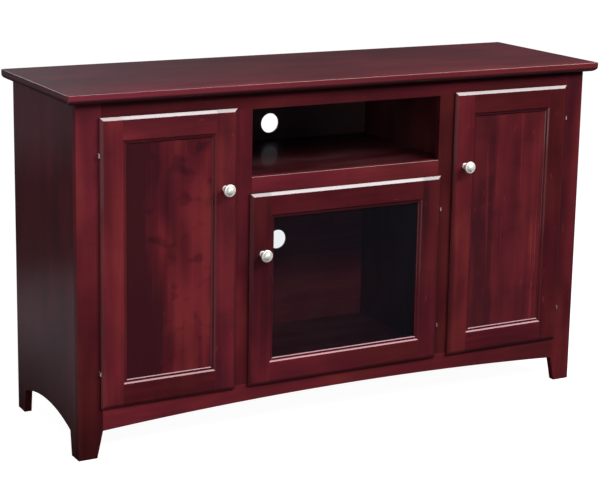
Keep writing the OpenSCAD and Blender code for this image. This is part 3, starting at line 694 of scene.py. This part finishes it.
def iron_ferrite(name):
    """Pressed black magnet with a gritty face."""
    finish = Finish(name)
    here = finish.place()
    grit = finish.noise(here, (1500.0,) * 3, 3.0, 0.7)
    chip = finish.noise(here, (260.0,) * 3, 2.0, 0.5).between(0.60, 0.68)
    body = finish.blend(chip, (0.020, 0.020, 0.022, 1.0), (0.075, 0.072, 0.070, 1.0))
    return finish.closed(
        {
            "Base Color": body,
            "Metallic": chip * 0.3 + 0.15,
            "Roughness": grit * 0.3 + 0.45,
            "Normal": finish.bump(grit, 0.4, 0.00012),
        }
    )


# Mesh helpers


# Vertices nearer than this are one
WELD = 1e-6
# Pieces that are nearer than this touch
TOUCH = 0.0003
# An edge is covered when another piece is this near
COVERED = 0.0004
# A board isn't split nearer than this to its own end
END_MARGIN = 0.004
# Edges duller than this are curves, in degrees
CORNER = 30.0
# Lets a smooth edge lie between a large and a small face
ANY_RATIO = 1e9


def merged_copy(node):
    """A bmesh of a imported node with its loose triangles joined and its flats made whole."""
    bm = bmesh.new()
    bm.from_mesh(frame["nodes"][node].data)
    bmesh.ops.remove_doubles(bm, verts=bm.verts, dist=WELD)
    bmesh.ops.dissolve_limit(
        bm, angle_limit=math.radians(0.3), use_dissolve_boundaries=False,
        verts=bm.verts, edges=bm.edges,
    )
    return bm


def contact_tree():
    """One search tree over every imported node, with the node that each face belongs to."""
    points, faces, owners = [], [], []
    for name, item in sorted(frame["nodes"].items()):
        start = len(points)
        points += [v.co.copy() for v in item.data.vertices]
        for face in item.data.polygons:
            faces.append([start + i for i in face.vertices])
            owners.append(name)
    return BVHTree.FromPolygons(points, faces), owners


def split(bm, place, normal, dist=0.0):
    """Splits the faces of a shape where a plane crosses them."""
    everything = list(bm.verts) + list(bm.edges) + list(bm.faces)
    bmesh.ops.bisect_plane(bm, geom=everything, dist=dist, plane_co=place, plane_no=normal)


def cut_at_joints(bm, name):
    """Splits the long edges of a board where the boards that meet it begin and end."""
    low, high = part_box(name)
    for other in WOOD_ORDER:
        near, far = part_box(other)
        apart = any(near[i] > high[i] + TOUCH or far[i] < low[i] - TOUCH for i in range(3))
        if other == name or apart:
            continue
        for axis in range(3):
            for level in (near[axis], far[axis]):
                if low[axis] + END_MARGIN < level < high[axis] - END_MARGIN:
                    normal = Vector((0, 0, 0))
                    normal[axis] = 1.0
                    split(bm, normal * level, normal, WELD)


def is_free(edge, name, tree, owners):
    """True where no other piece lies against an edge."""
    start, end = (vert.co for vert in edge.verts)
    for step in (0.2, 0.5, 0.8):
        for _, _, index, _ in tree.find_nearest_range(start.lerp(end, step), COVERED):
            if owners[index] != name:
                return False
    return True


def shade_by_angle(bm, angle=22.0, area_ratio=3.0):
    """Smooth faces, with sharp edges at corners and where a curve meets a large flat."""
    for face in bm.faces:
        face.smooth = True
    for edge in bm.edges:
        if len(edge.link_faces) != 2:
            edge.smooth = False
            continue
        small, large = sorted(f.calc_area() for f in edge.link_faces)
        curved = edge.calc_face_angle(0.0) < math.radians(angle)
        edge.smooth = curved and large < small * area_ratio


def ease_edges(bm, width, segments=2, keep=None):
    """Rounds the outer corners of a shape, or only those that keep lets through. One segment
    makes a plain chamfer."""
    edges = [
        e for e in bm.edges
        if len(e.link_faces) == 2
        and e.calc_face_angle(0.0) > math.radians(CORNER)
        and e.is_convex
        and (keep is None or keep(e))
    ]
    bmesh.ops.bevel(
        bm, geom=edges, offset=width, offset_type="OFFSET", profile_type="SUPERELLIPSE",
        segments=segments, profile=0.5, affect="EDGES", clamp_overlap=True, material=-1,
        loop_slide=True,
    )


def new_piece(name, bm, node, material):
    """Makes the object of a piece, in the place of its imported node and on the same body."""
    mesh = bpy.data.meshes.new(name)
    bm.to_mesh(mesh)
    bm.free()
    piece = bpy.data.objects.new(name, mesh)
    bpy.context.scene.collection.objects.link(piece)
    mesh.materials.append(material)
    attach(piece, frame["nodes"][node]["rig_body"])
    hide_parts(node)


def eased_piece(name, node, arris, material):
    """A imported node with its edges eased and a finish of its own."""
    bm = merged_copy(node)
    ease_edges(bm, arris)
    shade_by_angle(bm)
    new_piece(name, bm, node, material)


def mean_place(verts):
    """The mean place of some vertices, rounded so that shells sort alike in each run."""
    return tuple(round(sum(v.co[i] for v in verts) / len(verts), 5) for i in range(3))


def islands(bm):
    """The separate shells of a bmesh, as lists of their vertices."""
    left = set(bm.verts)
    found = []
    while left:
        shell, waiting = [], [left.pop()]
        while waiting:
            vert = waiting.pop()
            shell.append(vert)
            for link in vert.link_edges:
                other = link.other_vert(vert)
                if other in left:
                    left.remove(other)
                    waiting.append(other)
        found.append(shell)
    return sorted(found, key=mean_place)


def turned_to(direction, place):
    """A matrix that takes local +Z to a direction and the origin to a place."""
    return Matrix.Translation(place) @ Vector(direction).to_track_quat("Z", "Y").to_matrix().to_4x4()


# Wooden and glass pieces


def dress_boards(boards):
    """Gives boards their eased edges and their own stained wood."""
    sizes = bpy.context.scene.console_sizes
    tree, owners = contact_tree()
    for board in boards:
        bm = merged_copy(board)
        cut_at_joints(bm, board)
        arris = sizes.top_arris if board == "top_panel" else sizes.board_arris
        segments = 1 if board in CHAMFERED else 2
        ease_edges(bm, arris, segments, lambda e: is_free(e, board, tree, owners))
        shade_by_angle(bm)
        new_piece(f"{board}_board", bm, board, stained_wood(board))


class CONSOLE_OT_top(bpy.types.Operator):
    """Dress the moulded top"""

    bl_idname = "console.top"
    bl_label = "Top"

    def execute(self, context):
        dress_boards(["top_panel"])
        return {"FINISHED"}


class CONSOLE_OT_case(bpy.types.Operator):
    """Dress the sides, the face frame, the deck, partitions, shelves and back"""

    bl_idname = "console.case"
    bl_label = "Case"

    def execute(self, context):
        dress_boards([n for n in WOOD_ORDER if n != "top_panel" and not n.startswith(DOORS)])
        return {"FINISHED"}


class CONSOLE_OT_doors(bpy.types.Operator):
    """Dress the stiles, rails, panels and glass stops of the doors"""

    bl_idname = "console.doors"
    bl_label = "Doors"

    def execute(self, context):
        dress_boards([n for n in WOOD_ORDER if n.startswith(DOORS)])
        return {"FINISHED"}


class CONSOLE_OT_glass(bpy.types.Operator):
    """Make the pane of the glass door"""

    bl_idname = "console.glass"
    bl_label = "Glass"

    def execute(self, context):
        arris = context.scene.console_sizes.board_arris / 2
        eased_piece("glass_door_pane_clear", "glass_door_pane", arris, clear_glass())
        return {"FINISHED"}


# Knobs


def arc(centre, reach, first, last, steps):
    """Points on an arc of an ellipse, from the first angle to the last, in degrees."""
    angles = [math.radians(first + (last - first) * i / steps) for i in range(steps + 1)]
    return [
        (centre[0] + reach[0] * math.cos(a), centre[1] + reach[1] * math.sin(a)) for a in angles
    ]


def knob_profile(high, radius):
    """Outline of a knob as pairs of radius and height, from its foot on the door to its crown."""
    foot_r = 0.008
    foot_h = 0.005
    foot_edge = 0.0012
    foot_chamfer = 0.0003
    neck_r = 0.006
    neck_h = 0.0115
    flare_h = 0.006
    rim_h = 0.006
    rim_w = 0.0044
    rim_round = 0.0024
    edge = 0.0008
    neck_top = foot_h + neck_h
    rim_low = neck_top + flare_h
    rim_high = rim_low + rim_h
    rim_in = rim_w - edge / 2
    flare_r = radius - edge
    dome_r = radius - rim_w
    dome_h = high - rim_high + edge
    ball = (dome_r ** 2 + dome_h ** 2) / (2 * dome_h)
    dome_start = math.degrees(math.acos(dome_r / ball))
    outline = [(0.0, 0.0), (foot_r - foot_chamfer, 0.0), (foot_r, foot_chamfer)]
    outline += arc((foot_r, foot_h), (foot_r - neck_r, foot_h - foot_edge), 270, 180, 15)
    outline += arc((flare_r, neck_top), (flare_r - neck_r, flare_h), 180, 90, 15)
    outline += arc((flare_r, rim_low + edge), (edge, edge), -90, 0, 6)[1:]
    outline += arc((radius - rim_in, rim_high - rim_round), (rim_in, rim_round), 0, 90, 12)
    outline += arc((0.0, high - ball), (ball, ball), dome_start, 90, 20)[:-1]
    return outline + [(0.0, high)]


def turned_knob(high, radius, steps):
    """A knob on the origin, with its crown towards +Z."""
    bm = bmesh.new()
    verts = [bm.verts.new((r, 0.0, z)) for r, z in knob_profile(high, radius)]
    edges = [bm.edges.new(pair) for pair in zip(verts, verts[1:])]
    bmesh.ops.spin(
        bm, geom=verts + edges, cent=(0, 0, 0), axis=(0, 0, 1), dvec=(0, 0, 0),
        angle=2 * math.pi, steps=steps, use_merge=True, use_duplicate=False,
    )
    bmesh.ops.remove_doubles(bm, verts=bm.verts, dist=WELD)
    bmesh.ops.recalc_face_normals(bm, faces=bm.faces)
    return bm


class CONSOLE_OT_knobs(bpy.types.Operator):
    """Turn the three round knobs"""

    bl_idname = "console.knobs"
    bl_label = "Knobs"

    def execute(self, context):
        steps = context.scene.console_sizes.knob_steps
        tint = context.scene.console_colours.nickel
        for door in DOORS:
            node = f"{door}_knob"
            low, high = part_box(node)
            bm = turned_knob(high.y - low.y, (high.x - low.x) / 2, steps)
            place = Vector(((low.x + high.x) / 2, high.y, (low.z + high.z) / 2))
            bmesh.ops.transform(bm, matrix=turned_to((0, -1, 0), place), verts=bm.verts)
            shade_by_angle(bm, 28.0, ANY_RATIO)
            material = satin_metal(f"{node}_finish", tint, place, "y", 0.30, 0.10, 0.45)
            new_piece(f"{node}_turned", bm, node, material)
        return {"FINISHED"}


# Screws


def of_kind(found, kind):
    """The vertices or the edges in what a bmesh operator returns."""
    return [item for item in found["geom"] if isinstance(item, kind)]


def screw_shape(length, head_r, shank_r, cross):
    """A countersunk screw from the face of its head down +Z, with a cross recess."""
    arm_end = head_r * 0.62
    recess_depth = head_r * 0.55
    recess_taper = 0.55
    tip_share = 0.12
    bm = bmesh.new()
    bmesh.ops.create_circle(bm, cap_ends=True, segments=20, radius=head_r)
    for offset in (-cross / 2, cross / 2, -arm_end, arm_end):
        for axis in ((1, 0, 0), (0, 1, 0)):
            split(bm, Vector(axis) * offset, axis)
    arms = []
    for face in bm.faces:
        side, out = sorted(abs(c) for c in face.calc_center_median().xy)
        if side < cross / 2 and out < arm_end:
            arms.append(face)
    floor = of_kind(bmesh.ops.extrude_face_region(bm, geom=arms), bmesh.types.BMVert)
    bmesh.ops.delete(bm, geom=arms, context="FACES_ONLY")
    bmesh.ops.translate(bm, vec=(0, 0, recess_depth), verts=floor)
    bmesh.ops.scale(bm, vec=(recess_taper, recess_taper, 1.0), verts=floor)

    rim = [e for e in bm.edges if e.is_boundary]
    head_h = head_r - shank_r
    shank_h = length - head_h - head_r
    for drop, shrink in ((head_h, shank_r / head_r), (shank_h, 1.0), (head_r, tip_share)):
        wall = bmesh.ops.extrude_edge_only(bm, edges=rim)
        ring = of_kind(wall, bmesh.types.BMVert)
        rim = [e for e in of_kind(wall, bmesh.types.BMEdge) if all(v in ring for v in e.verts)]
        bmesh.ops.translate(bm, vec=(0, 0, drop), verts=ring)
        bmesh.ops.scale(bm, vec=(shrink, shrink, 1.0), verts=ring)
    bmesh.ops.contextual_create(bm, geom=rim)
    bmesh.ops.recalc_face_normals(bm, faces=bm.faces)
    return bm


def end_radius(shell, middle, axis, level):
    """How far a packed screw reaches from its own axis at one end."""
    ring = [v.co - middle for v in shell if abs(v.co[axis] - level) < 1e-5]
    return max(math.hypot(*(c[i] for i in range(3) if i != axis)) for c in ring)


def screw_in_place(shell, cross):
    """A screw where a packed one is, with its head at the wider end."""
    low = Vector([min(v.co[i] for v in shell) for i in range(3)])
    high = Vector([max(v.co[i] for v in shell) for i in range(3)])
    size = high - low
    middle = (low + high) / 2
    axis = max(range(3), key=lambda i: size[i])
    low_r = end_radius(shell, middle, axis, low[axis])
    high_r = end_radius(shell, middle, axis, high[axis])
    direction, place = Vector((0, 0, 0)), middle.copy()
    direction[axis] = -1 if high_r > low_r else 1
    place[axis] = high[axis] if high_r > low_r else low[axis]
    shape = screw_shape(size[axis], max(low_r, high_r), min(low_r, high_r), cross)
    bmesh.ops.transform(shape, matrix=turned_to(direction, place), verts=shape.verts)
    return shape


def set_screws(node, cross):
    """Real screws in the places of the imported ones."""
    source = merged_copy(node)
    whole = bmesh.new()
    for shell in islands(source):
        shape = screw_in_place(shell, cross)
        part = bpy.data.meshes.new("screw_part")
        shape.to_mesh(part)
        shape.free()
        whole.from_mesh(part)
        bpy.data.meshes.remove(part)
    source.free()
    shade_by_angle(whole, 35.0, ANY_RATIO)
    tint = bpy.context.scene.console_colours.zinc
    material = satin_metal(f"{node}_finish", tint, middle_of(node), "z", 0.34, 0.45)
    new_piece(f"{node}_set", whole, node, material)


class CONSOLE_OT_screws(bpy.types.Operator):
    """Set the wood screws of the case, hinges, catches and strikes"""

    bl_idname = "console.screws"
    bl_label = "Screws"

    def execute(self, context):
        cross = context.scene.console_sizes.screw_cross
        set_screws("case_screws", cross)
        set_screws("frame_leaf_screws", cross)
        for door in DOORS:
            set_screws(f"{door}_screws", cross)
        return {"FINISHED"}


# Hardware


def dress_metal(node, tint, along, rough, grime):
    arris = bpy.context.scene.console_sizes.metal_arris
    material = satin_metal(f"{node}_finish", tint, middle_of(node), along, rough, grime)
    eased_piece(f"{node}_metal", node, arris, material)


def dress_moulded(node, material):
    arris = bpy.context.scene.console_sizes.metal_arris * 2
    eased_piece(f"{node}_moulded", node, arris, material)


class CONSOLE_OT_hardware(bpy.types.Operator):
    """Dress the hinges, pins, strikes, catches, magnets, shelf pins, knob screws and bumpers"""

    bl_idname = "console.hardware"
    bl_label = "Hardware"

    def execute(self, context):
        colours = context.scene.console_colours
        dress_metal("hinge_frame_leaves", colours.hinge, "z", 0.40, 0.30)
        dress_metal("hinge_pins", colours.zinc, "z", 0.22, 0.30)
        dress_metal("shelf_pins", colours.nickel, "x", 0.28, 0.30)
        for door in DOORS:
            dress_metal(f"{door}_hinge_leaves", colours.hinge, "z", 0.40, 0.30)
            dress_metal(f"{door}_strike", colours.zinc, "x", 0.32, 0.40)
            dress_metal(f"{door}_knob_screw", colours.zinc, "y", 0.32, 0.40)
        catch = moulded_plastic("catch_bodies_finish", colours.catch, 0.42, 1800.0)
        dress_moulded("catch_bodies", catch)
        dress_moulded("catch_magnets", iron_ferrite("catch_magnets_finish"))
        for door in DOORS:
            bumper = moulded_plastic(f"{door}_bumpers_finish", colours.bumper, 0.30, 2500.0)
            dress_moulded(f"{door}_bumpers", bumper)
        return {"FINISHED"}


# Stage


# Place, target, and width and length of each light, in the order that they are set up
LIGHTS = {
    "key_light": ((1.6, -2.26, 2.66), (0.1, -0.2, 0.7), (2.6, 0.85)),
    "fill_light": ((-1.2, -3.9, 3.05), (0.0, -0.2, 0.45), (1.5, 0.9)),
    "strip_light": ((1.50, -1.187, 2.84), (1.50, -1.187, 0.0), (3.0, 0.20)),
    "knob_strip": ((-0.60, -3.0, 1.3), (-0.15, -0.2, 1.3), (0.45, 2.5)),
    "edge_light": ((1.2, -0.645, 2.84), (1.2, -0.645, 0.0), (3.0, 0.28)),
    "rim_light": ((-1.25, 2.75, 1.9), (-0.77, 0.0, 0.9), (0.5, 0.5)),
    "left_card": ((-2.25, -2.0, 0.9), (-0.2, -0.2, 0.8), (0.65, 1.7)),
}
# Roll of a light in degrees. The key light's lets all three doors mirror it in their top bevels
ROLL_OF = {"key_light": -23.0}
FLOOR_REACH = 45.0
# Light that the floor gives off to the eye alone, so that it looks pale
FLOOR_GLOW = 0.96


def soft_light(name, place, target, size, watts, roll):
    """A rectangular soft light, turned towards a target and rolled about that direction."""
    lamp = bpy.data.lights.new(name, "AREA")
    lamp.shape = "RECTANGLE"
    lamp.size, lamp.size_y = size
    lamp.energy = watts
    item = bpy.data.objects.new(name, lamp)
    bpy.context.scene.collection.objects.link(item)
    item.location = place
    item.rotation_mode = "QUATERNION"
    towards = (Vector(target) - Vector(place)).to_track_quat("-Z", "Y")
    item.rotation_quaternion = towards @ Quaternion((0.0, 0.0, 1.0), roll)
    item.visible_camera = False
    return item


def set_lights(stage, glint):
    """Sets up the lights. The strip that the bevels mirror is tinted, and the strip that the knobs
    mirror leaves the wood alone."""
    lights = {}
    for name, (place, target, size) in LIGHTS.items():
        roll = math.radians(ROLL_OF.get(name, 0.0))
        lights[name] = soft_light(name, place, target, size, getattr(stage, name), roll)
    lights["strip_light"].data.color = glint
    lights["knob_strip"].visible_diffuse = False


def make_floor(colours):
    """A wide pale floor with a faint mottle. In mirrorings it is bright at the left of the console,
    darker behind it and dim in front and at the right."""
    bm = bmesh.new()
    bmesh.ops.create_grid(bm, x_segments=2, y_segments=2, size=FLOOR_REACH)
    mesh = bpy.data.meshes.new("studio_floor")
    bm.to_mesh(mesh)
    bm.free()
    floor = bpy.data.objects.new("studio_floor", mesh)
    bpy.context.scene.collection.objects.link(floor)

    finish = Finish("studio_floor_finish")
    here = finish.place()
    mottle = finish.noise(here, (1.3, 1.3, 1.3), 3.0)
    body = finish.blend(mottle, paint(colours.floor, 0.97), paint(colours.floor))
    x, y, _ = finish.axes(here)
    beside = 1.0 - x.between(-1.05, -0.70)
    open_floor = 1.0 - y.between(1.05, 1.75) * (1.0 - y.between(2.7, 4.4) * 0.75)
    thrown = finish.blend(
        beside * open_floor, paint(colours.floor_dim), paint(colours.floor_bright)
    )
    matt = {"Roughness": 0.9, "Specular IOR Level": 0.0}
    seen = finish.surface({"Base Color": body, **matt})
    bounce = finish.surface({"Base Color": thrown, **matt})
    glow = finish.node("ShaderNodeEmission", None, {"Color": WHITE, "Strength": FLOOR_GLOW})
    lit = finish.node("ShaderNodeAddShader", None, {0: seen, 1: glow.outputs["Emission"]})
    mesh.materials.append(
        finish.finished(finish.bright_to_camera(bounce, lit.outputs["Shader"]))
    )


def make_room(stage):
    """A pale room, white to the eye. As a light it is bright overhead, dim near the floor and
    brighter behind and to the left of the console."""
    world = bpy.data.worlds.new("studio_room")
    bpy.context.scene.world = world
    room = Shading(world)
    x, y, z = room.axes(room.node("ShaderNodeTexCoord").outputs["Generated"])
    overhead = z.between(0.05, 0.75, stage.horizon, stage.sky)
    at_left = x.between(0.26, 0.50, stage.back_left, 0.0)
    light = at_left * y.between(0.30, 0.80) + overhead
    plain = room.node(
        "ShaderNodeBackground", None, {"Color": (0.92, 0.91, 1.0, 1.0), "Strength": light}
    )
    bright = room.node("ShaderNodeBackground", None, {"Color": WHITE, "Strength": 1.0})
    room.finished(
        room.bright_to_camera(plain.outputs["Background"], bright.outputs["Background"])
    )


def make_camera(stage):
    """The camera at the photograph's viewpoint."""
    lens = bpy.data.cameras.new("console_camera")
    lens.sensor_fit = "HORIZONTAL"
    lens.sensor_width = 36.0
    lens.lens = stage.lens
    lens.shift_y = -stage.camera_drop
    lens.clip_end = 200.0
    camera = bpy.data.objects.new("console_camera", lens)
    bpy.context.scene.collection.objects.link(camera)
    heading, pitch, roll = stage.camera_turn
    level = Euler((math.radians(90) + pitch, 0.0, -heading)).to_matrix()
    turn = level @ Matrix.Rotation(roll, 3, "Z")
    camera.matrix_world = Matrix.Translation(stage.camera_place) @ turn.to_4x4()
    bpy.context.scene.camera = camera


class CONSOLE_OT_stage(bpy.types.Operator):
    """Set up the floor, the lights and the camera"""

    bl_idname = "console.stage"
    bl_label = "Stage"

    def execute(self, context):
        stage = context.scene.console_stage
        colours = context.scene.console_colours
        make_floor(colours)
        make_room(stage)
        set_lights(stage, colours.glint)
        make_camera(stage)
        context.scene.view_settings.view_transform = "Standard"
        return {"FINISHED"}


# Add-on


class CONSOLE_PT_sidebar(bpy.types.Panel):
    """Lists the pieces of the console and their settings"""

    bl_idname = "CONSOLE_PT_sidebar"
    bl_label = "Television Console"
    bl_space_type = "VIEW_3D"
    bl_region_type = "UI"
    bl_category = "Console"

    def draw(self, context):
        for operator in OPERATORS:
            self.layout.operator(operator.bl_idname, text=operator.bl_label)
        for group in GROUPS:
            settings = getattr(context.scene, group)
            box = self.layout.box()
            for field in settings.bl_rna.properties.keys():
                if field not in ("rna_type", "name"):
                    box.prop(settings, field)


OPERATORS = (
    CONSOLE_OT_top, CONSOLE_OT_case, CONSOLE_OT_doors, CONSOLE_OT_glass, CONSOLE_OT_knobs,
    CONSOLE_OT_screws, CONSOLE_OT_hardware, CONSOLE_OT_stage,
)
GROUPS = {
    "console_sizes": ConsoleSizes, "console_colours": ConsoleColours, "console_stage": ConsoleStage,
}
CLASSES = (*GROUPS.values(), *OPERATORS, CONSOLE_PT_sidebar)


def register():
    for item in CLASSES:
        bpy.utils.register_class(item)
    for name, group in GROUPS.items():
        setattr(bpy.types.Scene, name, bpy.props.PointerProperty(type=group))


def unregister():
    for name in GROUPS:
        delattr(bpy.types.Scene, name)
    for item in reversed(CLASSES):
        bpy.utils.unregister_class(item)


def main():
    register()
    bpy.ops.console.top()
    bpy.ops.console.case()
    bpy.ops.console.doors()
    bpy.ops.console.glass()
    bpy.ops.console.knobs()
    bpy.ops.console.screws()
    bpy.ops.console.hardware()
    bpy.ops.console.stage()


if __name__ == "__main__":
    main()
